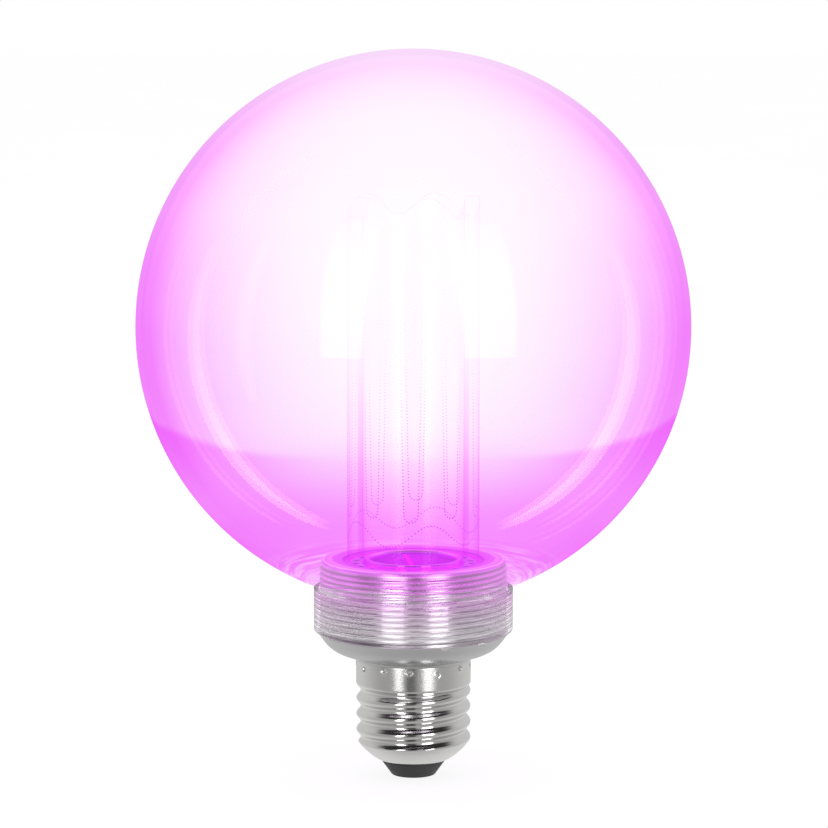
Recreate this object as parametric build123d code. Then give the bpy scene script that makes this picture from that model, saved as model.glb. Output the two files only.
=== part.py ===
from build123d import *
import math
import os

# Clear globe lamp with a rolled 27 mm screw cap and a light-guide tube.
# Millimetres. Z runs up the lamp's axis, the origin is the tip of the centre
# contact, and the side that faces a viewer is -Y.

# ---- screw cap -------------------------------------------------------------
THREAD_PITCH = 3.629        # seven turns to the inch
THREAD_MEAN_R = 12.57       # mean radius of the rolled sheet, outer side
THREAD_DEPTH = 0.50         # half the height of the rolled wave
THREAD_CREST_Z = 20.0       # a crest stands at +X at this height
SHELL_WALL = 0.30
SKIRT_R = 13.12
SKIRT_BOTTOM = 21.9
SHELL_TOP = 27.5
SHELL_LIP_R = 7.5
SHELL_LIP_Z = 3.95
DIMPLES = 12                # punched fixings round the skirt
DIMPLE_Z = 26.35
DIMPLE_R = 0.55

# ---- insulator and contact -------------------------------------------------
INSULATOR_BOTTOM_Z = 0.40
INSULATOR_BOTTOM_R = 5.2
INSULATOR_TOP_Z = 3.95
INSULATOR_TOP_R = 7.45
CONTACT_R = 3.2
CONTACT_SHANK_R = 1.2
CONTACT_HEAD = 0.45

# ---- base cup --------------------------------------------------------------
CUP_WALL = 1.3
CUP_TOP = 49.7
CUP_THREAD_R = 20.95        # mean radius of the fine thread in the neck
CUP_BORE_R = 19.4
CUP_LEDGE_Z = 46.0
CUP_LEDGE_R = 21.85         # shoulder that the neck stands on
CUP_RIM_BORE_R = 20.0
COLLAR_R = 12.7
COLLAR_BORE_R = 11.2
COLLAR_BOTTOM = 22.4
RAIL_TOP = 28.2

# ---- globe -----------------------------------------------------------------
GLOBE_R = 62.5
GLOBE_CENTRE_Z = 103.15
GLOBE_WALL = 1.4
NECK_R = 22.7
NECK_BORE_R = 21.7
NECK_BOTTOM = 33.75
NECK_FILLET = 1.6

# ---- light guide and its seat ----------------------------------------------
TUBE_R = 15.0
TUBE_BORE_R = 11.6
TUBE_BOTTOM = 49.65
CROWN_MEAN_Z = 130.45
CROWN_WAVE = 2.45
CROWN_WAVES = 5
CROWN_PEAK_DEG = -75.0      # azimuth of one peak, from +X
PLATE_R = 20.8
PLATE_BORE_R = 15.12
PLATE_SEAT_R = 14.75        # lip under the tube
PLATE_Z = CUP_TOP
PLATE_TOP = 50.35
REFLECTOR_R = 11.45
REFLECTOR_DISH_R = 10.1
REFLECTOR_TOP = 50.45

# ---- board stack -----------------------------------------------------------
SPREADER_R = 19.9
SPREADER_TOP = 47.5
LED_BOARD_R = 19.5
LED_BOARD_TOP = 48.7
LED_COUNT = 20
LED_RING_R = 13.2
LED_HEIGHT = 0.75
SCREW_RING_R = 17.65
SCREW_COUNT = 3

# ---- driver ----------------------------------------------------------------
BOARD_T = 1.2
BOARD_BOTTOM = 8.5
BOARD_TOP = 43.8


def turned(points, smooth=None):
    """Solid of revolution about Z from (r, z) points; smooth gives the index
    range (first, last) of the points that are joined by one spline."""
    pts = [Vector(r, 0, z) for r, z in points]
    edges = []
    i = 0
    while i < len(pts):
        j = (i + 1) % len(pts)
        if smooth and i == smooth[0]:
            edges.append(Edge.make_spline(pts[smooth[0]:smooth[1] + 1]))
            i = smooth[1]
            continue
        edges.append(Edge.make_line(pts[i], pts[j]))
        i += 1
    face = Face(Wire(edges))
    return Solid.revolve(face, 360, Axis.Z)


def rolled(radius, depth, pitch, crest_z, z0, z1):
    """Round-wave thread core: circles set off the axis by the wave's depth, whose
    centres turn once a pitch up the axis, joined by one smooth surface."""
    count = math.ceil((z1 - z0) / pitch * 10) + 1
    circles = []
    for i in range(count):
        z = z0 + (z1 - z0) * i / (count - 1)
        phi = 2 * math.pi * (z - crest_z) / pitch
        centre = (depth * math.cos(phi), depth * math.sin(phi), z)
        circles.append(Wire.make_circle(radius, Plane(centre)))
    return Solid.make_loft(circles)


def block(x0, x1, y0, y1, z0, z1):
    return Pos((x0 + x1) / 2, (y0 + y1) / 2, (z0 + z1) / 2) * Box(
        x1 - x0, y1 - y0, z1 - z0
    )


def post(x, y, r, z0, z1):
    return Pos(x, y, (z0 + z1) / 2) * Cylinder(r, z1 - z0)


def ring(r0, r1, z0, z1):
    return post(0, 0, r1, z0, z1) - post(0, 0, r0, z0 - 1, z1 + 1)


def one(shape):
    solids = shape.solids()
    return solids[0] if len(solids) == 1 else Compound(solids)


def wire_along(points, r, bends):
    path = FilletPolyline(*[Vector(*p) for p in points], radius=bends)
    start = Plane(origin=path @ 0, z_dir=path % 0)
    return sweep(start * Circle(r), path=path)


parts = {}

# ---- screw shell: thread, plain skirt above, curved foot below --------------
FOOT = [(12.75, 8.35), (12.1, 7.45), (11.4, 6.7), (10.6, 5.95), (9.7, 5.2),
        (8.7, 4.5), (SHELL_LIP_R, SHELL_LIP_Z)]


def shell_body(inset, drop):
    """The shell's outline filled solid, drawn in by the sheet's thickness."""
    core = rolled(THREAD_MEAN_R - inset, THREAD_DEPTH, THREAD_PITCH,
                  THREAD_CREST_Z, 2.0, SKIRT_BOTTOM + 0.7)
    skirt = turned([(0, SKIRT_BOTTOM - 1.25), (12.0 - inset, SKIRT_BOTTOM - 1.25),
                    (SKIRT_R - inset, SKIRT_BOTTOM),
                    (SKIRT_R - inset, SHELL_TOP + drop), (0, SHELL_TOP + drop)])
    foot = [(r, z + drop) for r, z in FOOT]
    envelope = turned([(0, SHELL_TOP + 5), (14.0, SHELL_TOP + 5),
                       (14.0, 10.2 + drop)] + foot + [(0, SHELL_LIP_Z + drop)],
                      smooth=(3, 3 + len(foot) - 1))
    return (core + skirt) & envelope


shell = shell_body(0, 0) - shell_body(SHELL_WALL, 0.42)
shell = shell - post(0, 0, SHELL_LIP_R - 0.25, 0, 6)

# Conical punch marks that lock the skirt to the collar.
punches = []
for i in range(DIMPLES):
    a = -90 - 3.5 + i * 360 / DIMPLES + (1.6, -1.2, 0.4)[i % 3]
    dz = (0.0, -0.25, 0.2, -0.1)[i % 4]
    cone = Cone(DIMPLE_R, 0.12, 0.75)
    punches.append(
        Rot(0, 0, a) * Pos(SKIRT_R - 0.30, 0, DIMPLE_Z + dz) * Rot(0, -90, 0) * cone
    )
for cone in punches:
    shell = shell - cone
parts["screw_shell"] = one(shell)

# ---- insulator: outer cone, spigot through the shell, inner flange ----------
insulator = turned([
    (CONTACT_SHANK_R + 0.05, CONTACT_HEAD),
    (CONTACT_R + 0.1, CONTACT_HEAD),
    (CONTACT_R + 0.25, INSULATOR_BOTTOM_Z),
    (INSULATOR_BOTTOM_R - 0.35, INSULATOR_BOTTOM_Z),
    (INSULATOR_BOTTOM_R, INSULATOR_BOTTOM_Z + 0.3),
    (INSULATOR_TOP_R, INSULATOR_TOP_Z - 0.15),
    (INSULATOR_TOP_R - 0.15, INSULATOR_TOP_Z),
    (SHELL_LIP_R - 0.35, INSULATOR_TOP_Z),
    (SHELL_LIP_R - 0.35, 5.0),
    (8.5, 5.25), (8.5, 6.1),
    (CONTACT_SHANK_R + 0.05, 6.1),
])
parts["cap_insulator"] = one(insulator)

# ---- centre contact: low domed head with a flat tip, shank ------------------
contact = turned([
    (0, 0), (CONTACT_R - 0.7, 0), (CONTACT_R - 0.2, 0.1), (CONTACT_R, 0.3),
    (CONTACT_R, CONTACT_HEAD), (CONTACT_SHANK_R, CONTACT_HEAD), (CONTACT_SHANK_R, 6.6), (0, 6.6),
])
parts["centre_contact"] = one(contact)

# ---- base cup: collar, bowl, shoulder, wall inside the neck, rim -------------
BOWL = [(13.45, SHELL_TOP), (13.75, 28.0), (14.6, 28.4), (15.9, 28.75), (17.2, 29.2),
        (18.4, 29.8), (19.4, 30.55), (20.3, 31.5), (21.1, 32.6), (CUP_LEDGE_R, NECK_BOTTOM)]
cup = turned(
    [(0, COLLAR_BOTTOM), (COLLAR_R - 0.3, COLLAR_BOTTOM), (COLLAR_R, COLLAR_BOTTOM + 0.4),
     (COLLAR_R, SHELL_TOP)] + BOWL + [
        (CUP_THREAD_R, NECK_BOTTOM), (CUP_THREAD_R, CUP_TOP - 0.4),
        (CUP_THREAD_R - 0.4, CUP_TOP), (0, CUP_TOP)],
    smooth=(4, 4 + len(BOWL) - 1),
)
hollow = turned([
    (0, COLLAR_BOTTOM - 1), (COLLAR_BORE_R, COLLAR_BOTTOM - 1), (COLLAR_BORE_R, 28.7),
    (13.2, 29.6), (15.2, 30.25), (17.0, 31.2), (18.4, 32.5), (19.1, 33.9),
    (CUP_BORE_R, 35.3), (CUP_BORE_R, CUP_LEDGE_Z), (CUP_RIM_BORE_R, CUP_LEDGE_Z),
    (CUP_RIM_BORE_R, CUP_TOP + 1), (0, CUP_TOP + 1),
])
cup = cup - hollow
# Two slotted rails in the collar carry the edges of the driver board.
for side in (1, -1):
    x0, x1 = sorted((side * 9.9, side * 11.45))
    rail = block(x0, x1, -1.6, 1.6, COLLAR_BOTTOM, RAIL_TOP)
    slot = block(min(0, side * 10.85), max(0, side * 10.85), -0.7, 0.7,
                 COLLAR_BOTTOM - 1, 29)
    cup = cup + (rail - slot)
for cone in punches:
    cup = cup - cone
parts["base_cup"] = one(cup)

# ---- globe: sphere and straight neck in one wall ----------------------------
outer = Pos(0, 0, GLOBE_CENTRE_Z) * Sphere(GLOBE_R) + post(
    0, 0, NECK_R, NECK_BOTTOM, GLOBE_CENTRE_Z
)
join_z = GLOBE_CENTRE_Z - math.sqrt(GLOBE_R**2 - NECK_R**2)
root = [e for e in outer.edges() if abs(e.center().Z - join_z) < 0.05
        and abs(e.bounding_box().size.X - 2 * NECK_R) < 0.1]
outer = fillet(root, NECK_FILLET)
foot = [e for e in outer.edges() if abs(e.center().Z - NECK_BOTTOM) < 0.01
        and abs(e.bounding_box().size.X - 2 * NECK_R) < 0.1]
outer = fillet(foot, 0.45)
inner = Pos(0, 0, GLOBE_CENTRE_Z) * Sphere(GLOBE_R - GLOBE_WALL)
bore = post(0, 0, NECK_BORE_R, NECK_BOTTOM - 1, 52.0)
globe = outer - inner - bore
# Stop lugs moulded on the neck's lower edge.
for a, width in ((-70.5, 3.0), (-47.0, 2.2), (109.5, 3.0), (133.0, 2.2)):
    lug = block(21.9, 22.5, -width / 2, width / 2, NECK_BOTTOM - 0.75, NECK_BOTTOM + 0.3)
    globe = globe + Rot(0, 0, a) * lug
parts["globe"] = one(globe)

# ---- light guide: thick tube, top edge cut to a five-wave crown -------------
tube = ring(TUBE_BORE_R, TUBE_R, TUBE_BOTTOM, CROWN_MEAN_Z + 6)
grid = []
span, steps = 17.0, 44
for i in range(steps + 1):
    row = []
    for j in range(steps + 1):
        x = -span + 2 * span * i / steps
        y = -span + 2 * span * j / steps
        r = math.hypot(x, y)
        fade = min(1.0, max(0.0, (r - 3.0) / 6.0))
        fade = fade * fade * (3 - 2 * fade)
        t = math.atan2(y, x) - math.radians(CROWN_PEAK_DEG)
        row.append(Vector(x, y, CROWN_MEAN_Z + CROWN_WAVE * fade * math.cos(CROWN_WAVES * t)))
    grid.append(row)
wave = Face.make_surface_from_array_of_points(grid, tol=0.005)
cutter = Solid.extrude(wave, Vector(0, 0, 15))
tube = tube - cutter
parts["light_guide_tube"] = one(tube)

# ---- cover plate: flat ring whose inner lip carries the tube -----------------
plate = turned([
    (PLATE_SEAT_R, LED_BOARD_TOP), (15.7, LED_BOARD_TOP), (15.7, PLATE_Z), (PLATE_R, PLATE_Z), (PLATE_R, PLATE_TOP - 0.25),
    (PLATE_R - 0.3, PLATE_TOP), (17.6, PLATE_TOP), (17.2, PLATE_TOP - 0.2),
    (16.2, PLATE_TOP - 0.2), (PLATE_BORE_R, PLATE_TOP - 0.45),
    (PLATE_BORE_R, TUBE_BOTTOM), (PLATE_SEAT_R, TUBE_BOTTOM),
])
parts["cover_plate"] = one(plate)

# ---- centre reflector: rimmed glossy dish in the tube's bore ----------------
reflector = turned([
    (0, 49.55), (9.4, 49.55), (9.8, 49.2), (9.8, LED_BOARD_TOP), (REFLECTOR_R, LED_BOARD_TOP),
    (REFLECTOR_R, REFLECTOR_TOP - 0.3), (REFLECTOR_R - 0.3, REFLECTOR_TOP),
    (REFLECTOR_DISH_R + 0.3, REFLECTOR_TOP), (REFLECTOR_DISH_R, REFLECTOR_TOP - 0.3),
    (9.4, 50.0), (0, 49.85),
])
parts["centre_reflector"] = one(reflector)

# ---- heat spreader: flat pan on the cup's ledge -----------------------------
pan = post(0, 0, SPREADER_R, CUP_LEDGE_Z, SPREADER_TOP) + ring(17.9, 19.2, 40.5, 46.5)
pan = pan - block(-6.8, 6.8, -3.9, -0.1, 45, 49)
board = post(0, 0, LED_BOARD_R, SPREADER_TOP, LED_BOARD_TOP)
screws = []
for i in range(SCREW_COUNT):
    a = math.radians(90 + i * 360 / SCREW_COUNT)
    x, y = SCREW_RING_R * math.cos(a), SCREW_RING_R * math.sin(a)
    pan = pan - post(x, y, 1.05, 45, 48)
    board = board - post(x, y, 1.15, 47, 49)
    screw = post(x, y, 1.7, LED_BOARD_TOP, LED_BOARD_TOP + 0.85) + post(
        x, y, 1.0, 45.2, LED_BOARD_TOP
    )
    screw = screw - block(x - 1.2, x + 1.2, y - 0.18, y + 0.18, 49.2, 50)
    screw = screw - block(x - 0.18, x + 0.18, y - 1.2, y + 1.2, 49.2, 50)
    screws.append(one(screw))
PIN_X = [-4.0, -2.0, 0.0, 2.0, 4.0]
for x in PIN_X:
    board = board - post(x, -2.0, 0.5, 47, 49)
parts["heat_spreader"] = one(pan)
parts["led_board"] = one(board)
parts["board_screws"] = Compound(screws)

# ---- light sources: flat packages under the tube's wall ---------------------
leds = []
for i in range(LED_COUNT):
    a = i * 360 / LED_COUNT + 9
    body = Pos(LED_RING_R, 0, LED_BOARD_TOP + LED_HEIGHT / 2) * Box(2.8, 3.5, LED_HEIGHT)
    dish = Pos(LED_RING_R, 0, LED_BOARD_TOP + LED_HEIGHT) * Cone(0.8, 1.05, 0.3)
    leds.append(one(Rot(0, 0, a) * (body - dish)))
parts["leds"] = Compound(leds)

# ---- driver board: narrow tongue in the cap, wide head in the cup -----------
h = BOARD_T / 2
outline = [(-9.3, BOARD_BOTTOM), (9.3, BOARD_BOTTOM), (9.3, 21.6), (10.75, 22.0),
           (10.75, RAIL_TOP), (11.1, RAIL_TOP), (11.1, 29.6), (15.6, 33.6),
           (15.6, BOARD_TOP), (-15.6, BOARD_TOP), (-15.6, 33.6), (-11.1, 29.6),
           (-11.1, RAIL_TOP), (-10.75, RAIL_TOP), (-10.75, 22.0), (-9.3, 21.6)]
face = Face(Wire.make_polygon([Vector(x, -h, z) for x, z in outline], close=True))
driver = Solid.extrude(face, Vector(0, BOARD_T, 0))
parts["driver_board"] = one(driver)

# Large electrolytic beside the tongue, rounded can with a crimp groove.
bulk = turned([(0, 11.5), (4.3, 11.5), (4.9, 11.9), (4.9, 13.4), (4.55, 13.8),
               (4.9, 14.2), (4.9, 26.2), (4.5, 26.6), (0, 26.6)])
bulk = Pos(0, -5.9, 0) * bulk
for x in (-2.0, 2.0):
    bulk = bulk + post(x, -5.9, 0.3, 10.2, 12) + block(
        x - 0.3, x + 0.3, -6.2, -h, 9.7, 10.3
    )
parts["bulk_capacitor"] = one(bulk)

# Smoothing electrolytic lying on the head of the board.
small = Pos(8.2, -4.0, 36.8) * Rot(0, 90, 0) * Cylinder(3.1, 11)
small = small + block(13.5, 14.6, -4.3, -3.7, 36.5, 37.1) + block(
    14.0, 14.6, -4.0, -h, 36.5, 37.1
)
parts["output_capacitor"] = one(small)

film = fillet(block(-4.8, 4.8, h + 0.05, 5.9, 10.4, 17.6).edges().filter_by(Axis.Y), 0.6)
film = film + block(-3.2, -2.6, h, 1.2, 10.0, 10.6) + block(2.6, 3.2, h, 1.2, 10.0, 10.6)
parts["film_capacitor"] = one(film)

drum = post(-4.3, 4.9, 3.7, 19.3, 20.7) + post(-4.3, 4.9, 3.2, 20, 26.5) + post(
    -4.3, 4.9, 3.7, 26.0, 27.4
)
drum = drum + block(-4.7, -3.9, h, 2.0, 19.5, 20.1)
parts["choke"] = one(drum)

fuse = post(5.2, 2.9, 1.55, 19.8, 26.4) + post(5.2, 2.9, 0.3, 18.9, 27.3)
fuse = fuse + block(4.9, 5.5, h, 3.2, 18.6, 19.2) + block(4.9, 5.5, h, 3.2, 27.0, 27.6)
parts["fusible_resistor"] = one(fuse)

bridge = fillet(block(6.4, 11.2, h, 3.1, 35.0, 38.9).edges().filter_by(Axis.Y), 0.3)
for z in (35.6, 37.7):
    bridge = bridge + block(5.5, 12.1, h, h + 0.3, z, z + 0.7)
parts["bridge_rectifier"] = one(bridge)

chip = block(6.0, 10.9, h + 0.1, h + 1.6, 40.2, 43.2)
for i in range(4):
    z = 40.5 + i * 0.75
    chip = chip + block(5.2, 11.7, h, h + 0.25, z, z + 0.35)
parts["driver_chip"] = one(chip)

# Transformer: ferrite frame on the board with the wound bobbin round its leg.
core = block(-14.4, -5.6, -9.2, -h, 34.0, 43.2) - block(-15, -5, -7.6, -h - 1.6, 35.6, 41.6)
leg = block(-12.2, -7.8, -6.0, -3.8, 35.0, 42.2)
parts["transformer_core"] = one(core + leg)
coil = block(-14.0, -6.0, -7.5, -2.3, 35.75, 41.45) - block(-12.2, -7.8, -6.05, -3.75, 34, 43)
parts["transformer_winding"] = one(coil)

# Radio module: small board with its screening can and a free antenna end.
parts["radio_module"] = one(block(-13.6, 3.4, h, h + 0.8, 33.4, 43.4))
can = block(-8.4, 2.6, h + 0.8, h + 2.7, 34.2, 42.6)
can = fillet(can.edges().filter_by(Axis.Y), 0.7)
can = can - block(-8.2, 2.4, h + 0.5, h + 2.5, 34.4, 42.4)
parts["radio_shield"] = one(can)

# Pin header between the driver and the light board.
header = block(-5.2, 5.2, -3.2, -h, 41.0, 43.5)
for x in PIN_X:
    header = header + block(x - 0.3, x + 0.3, -2.3, -1.7, 42, 49.3)
parts["pin_header"] = one(header)

# Leads from the board to the contact and to the shell.
parts["live_wire"] = one(wire_along(
    [(0, 0, 6.6), (0, 0, 7.35), (4.6, -1.25, 7.75), (4.8, -1.15, 11.2)], 0.5, 0.6))
parts["neutral_wire"] = one(wire_along(
    [(7.2, 1.15, 13.4), (7.3, 1.2, 15.4), (9.4, 2.75, 16.65), (11.9, 3.42, 16.65)], 0.5, 0.9))

os.makedirs("parts", exist_ok=True)
for name, shape in parts.items():
    shape.label = name
    export_step(shape, f"parts/{name}.step")
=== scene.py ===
import math

import bpy
import numpy as np
from mathutils import Matrix, Vector


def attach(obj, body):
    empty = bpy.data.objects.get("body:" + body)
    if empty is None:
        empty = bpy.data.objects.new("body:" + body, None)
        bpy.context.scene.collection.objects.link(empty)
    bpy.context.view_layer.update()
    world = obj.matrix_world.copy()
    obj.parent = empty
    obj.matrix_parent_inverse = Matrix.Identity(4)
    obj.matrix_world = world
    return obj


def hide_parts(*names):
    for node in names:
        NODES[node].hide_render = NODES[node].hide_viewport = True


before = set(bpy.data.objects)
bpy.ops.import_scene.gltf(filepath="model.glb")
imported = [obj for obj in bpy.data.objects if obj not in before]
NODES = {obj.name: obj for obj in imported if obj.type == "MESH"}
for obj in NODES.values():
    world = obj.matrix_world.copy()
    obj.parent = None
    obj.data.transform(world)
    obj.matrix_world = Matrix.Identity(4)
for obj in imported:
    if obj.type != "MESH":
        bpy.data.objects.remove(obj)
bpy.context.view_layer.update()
scene = bpy.context.scene
MM = 0.001

# ---------------------------------------------------------------------------
# Sizes shared with the model, in millimetres
# ---------------------------------------------------------------------------
GLOBE_R, GLOBE_Z, GLOBE_WALL = 62.5, 103.15, 1.4
NECK_R, NECK_BORE, NECK_BOTTOM, NECK_FILLET = 22.7, 21.7, 33.75, 1.6
CUP_TOP, CUP_LEDGE_R, SHELL_TOP = 49.7, 21.85, 27.5
FINE_PITCH = 1.25
TUBE_R, TUBE_BORE, TUBE_BOTTOM = 15.0, 11.6, 49.65
CROWN_Z, CROWN_WAVE, CROWN_N, CROWN_PEAK = 130.45, 2.45, 5, math.radians(-75.0)
PITCH, THREAD_R, THREAD_A, CREST_Z = 3.629, 12.57, 0.50, 20.0
SKIRT_R, SKIRT_Z = 13.12, 21.9


# ---------------------------------------------------------------------------
# Mesh helpers
# ---------------------------------------------------------------------------
def lathe(name, rows, seg, closed=False, shape=None, sharp=38.0):
    """Surface of revolution from (r, z) rows in millimetres. A row with r = 0 is
    a pole. shape(i, r, z, th) may move a row's ring and returns (r, z)."""
    th = np.linspace(0, 2 * math.pi, seg, endpoint=False)
    verts, first, pole = [], [], []
    n = 0
    for i, (r, z) in enumerate(rows):
        first.append(n)
        if r < 1e-6:
            pole.append(True)
            verts.append(np.array([[0.0, 0.0, z]]))
            n += 1
            continue
        pole.append(False)
        rr, zz = np.full(seg, float(r)), np.full(seg, float(z))
        if shape is not None:
            rr, zz = shape(i, rr, zz, th)
        verts.append(np.stack([rr * np.cos(th), rr * np.sin(th), zz], 1))
        n += seg
    faces = []
    last = len(rows) if closed else len(rows) - 1
    j0 = np.arange(seg)
    j1 = (j0 + 1) % seg
    for i in range(last):
        k = (i + 1) % len(rows)
        a, b = first[i], first[k]
        if pole[i] and pole[k]:
            continue
        if pole[i]:
            faces += [(a, b + int(q), b + int(p)) for p, q in zip(j0, j1)]
        elif pole[k]:
            faces += [(a + int(p), a + int(q), b) for p, q in zip(j0, j1)]
        else:
            faces += [(a + int(p), a + int(q), b + int(q), b + int(p)) for p, q in zip(j0, j1)]
    me = bpy.data.meshes.new(name)
    me.from_pydata((np.vstack(verts) * MM).tolist(), [], faces)
    me.update()
    return finish_mesh(name, me, sharp)


def finish_mesh(name, me, sharp=38.0):
    import bmesh
    bm = bmesh.new()
    bm.from_mesh(me)
    bmesh.ops.recalc_face_normals(bm, faces=bm.faces)
    bm.to_mesh(me)
    bm.free()
    me.polygons.foreach_set("use_smooth", [True] * len(me.polygons))
    me.set_sharp_from_angle(angle=math.radians(sharp))
    ob = bpy.data.objects.new(name, me)
    scene.collection.objects.link(ob)
    return ob


def arc(cx, cz, r, a0, a1, n):
    a = np.radians(np.linspace(a0, a1, n))
    return [(cx + r * math.cos(t), cz + r * math.sin(t)) for t in a]


def line(p, q, n):
    return [(p[0] + (q[0] - p[0]) * i / n, p[1] + (q[1] - p[1]) * i / n) for i in range(n)]


def smooth_curve(points, n):
    """Catmull-Rom through (r, z) points, n steps a span."""
    p = [points[0]] + list(points) + [points[-1]]
    out = []
    for i in range(1, len(p) - 2):
        a, b, c, d = (np.array(p[i + k], float) for k in (-1, 0, 1, 2))
        for s in range(n):
            t = s / n
            out.append(tuple(0.5 * ((2 * b) + (c - a) * t + (2 * a - 5 * b + 4 * c - d) * t * t
                                    + (3 * b - a - 3 * c + d) * t ** 3)))
    out.append(tuple(points[-1]))
    return out


# ---------------------------------------------------------------------------
# Node helpers
# ---------------------------------------------------------------------------
class Mat:
    def __init__(self, name, world=False):
        self.m = bpy.data.worlds.new(name) if world else bpy.data.materials.new(name)
        self.m.use_nodes = True
        self.t = self.m.node_tree
        self.t.nodes.clear()
        self.out = self.t.nodes.new("ShaderNodeOutputWorld" if world else "ShaderNodeOutputMaterial")

    def n(self, kind, **kw):
        node = self.t.nodes.new(kind)
        for k, v in kw.items():
            setattr(node, k, v)
        return node

    def put(self, socket, value):
        if isinstance(value, bpy.types.NodeSocket):
            self.t.links.new(value, socket)
        else:
            socket.default_value = value

    def math(self, op, a, b=None, c=None, clamp=False):
        node = self.n("ShaderNodeMath", operation=op, use_clamp=clamp)
        self.put(node.inputs[0], a)
        if b is not None:
            self.put(node.inputs[1], b)
        if c is not None:
            self.put(node.inputs[2], c)
        return node.outputs[0]

    def xyz(self):
        co = self.n("ShaderNodeTexCoord")
        sep = self.n("ShaderNodeSeparateXYZ")
        self.t.links.new(co.outputs["Object"], sep.inputs[0])
        return co.outputs["Object"], sep.outputs

    def curve(self, value, lo, hi, points):
        """Piecewise-linear value of points (x, y) over lo..hi, read from a ramp."""
        top = max(y for _, y in points)
        x = self.n("ShaderNodeMapRange", clamp=True)
        self.put(x.inputs["Value"], value)
        x.inputs["From Min"].default_value = lo
        x.inputs["From Max"].default_value = hi
        ramp = self.n("ShaderNodeValToRGB")
        ramp.color_ramp.interpolation = "LINEAR"
        el = ramp.color_ramp.elements
        pts = sorted(points)
        el[0].position, el[1].position = 0.0, 1.0
        f = [((x - lo) / (hi - lo), y / top) for x, y in pts]
        el[0].position, el[0].color = f[0][0], (f[0][1],) * 3 + (1,)
        el[1].position, el[1].color = f[-1][0], (f[-1][1],) * 3 + (1,)
        for p, y in f[1:-1]:
            e = el.new(p)
            e.color = (y, y, y, 1)
        self.t.links.new(x.outputs[0], ramp.inputs[0])
        return self.math("MULTIPLY", ramp.outputs["Color"], top)

    def noise(self, vec, scale, detail=2.0, rough=0.5):
        node = self.n("ShaderNodeTexNoise")
        self.t.links.new(vec, node.inputs["Vector"])
        node.inputs["Scale"].default_value = scale
        node.inputs["Detail"].default_value = detail
        node.inputs["Roughness"].default_value = rough
        return node.outputs["Fac"]

    def ramp(self, fac, stops):
        node = self.n("ShaderNodeValToRGB")
        el = node.color_ramp.elements
        el[0].position, el[0].color = stops[0][0], stops[0][1] + (1,)
        el[1].position, el[1].color = stops[-1][0], stops[-1][1] + (1,)
        for p, c in stops[1:-1]:
            e = el.new(p)
            e.color = c + (1,)
        self.t.links.new(fac, node.inputs[0])
        return node.outputs["Color"]

    def step(self, value, a, b):
        """Smooth step from 0 at a to 1 at b; a may be the larger."""
        node = self.n("ShaderNodeMapRange", clamp=True, interpolation_type="SMOOTHSTEP")
        self.put(node.inputs["Value"], value)
        lo, hi, c, d = (a, b, 0.0, 1.0) if a < b else (b, a, 1.0, 0.0)
        for k, v in zip(("From Min", "From Max", "To Min", "To Max"), (lo, hi, c, d)):
            node.inputs[k].default_value = v
        return node.outputs[0]

    def span(self, value, a, b, c, d):
        node = self.n("ShaderNodeMapRange", clamp=True)
        self.put(node.inputs["Value"], value)
        for k, v in zip(("From Min", "From Max", "To Min", "To Max"), (a, b, c, d)):
            node.inputs[k].default_value = v
        return node.outputs[0]

    def bump(self, height, strength, distance):
        node = self.n("ShaderNodeBump")
        node.inputs["Strength"].default_value = strength
        node.inputs["Distance"].default_value = distance
        self.t.links.new(height, node.inputs["Height"])
        return node.outputs["Normal"]

    def principled(self, **kw):
        node = self.n("ShaderNodeBsdfPrincipled")
        for k, v in kw.items():
            self.put(node.inputs[k.replace("_", " ")], v)
        return node

    def end(self, shader):
        self.t.links.new(shader, self.out.inputs["Surface"])
        return self.m


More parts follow.
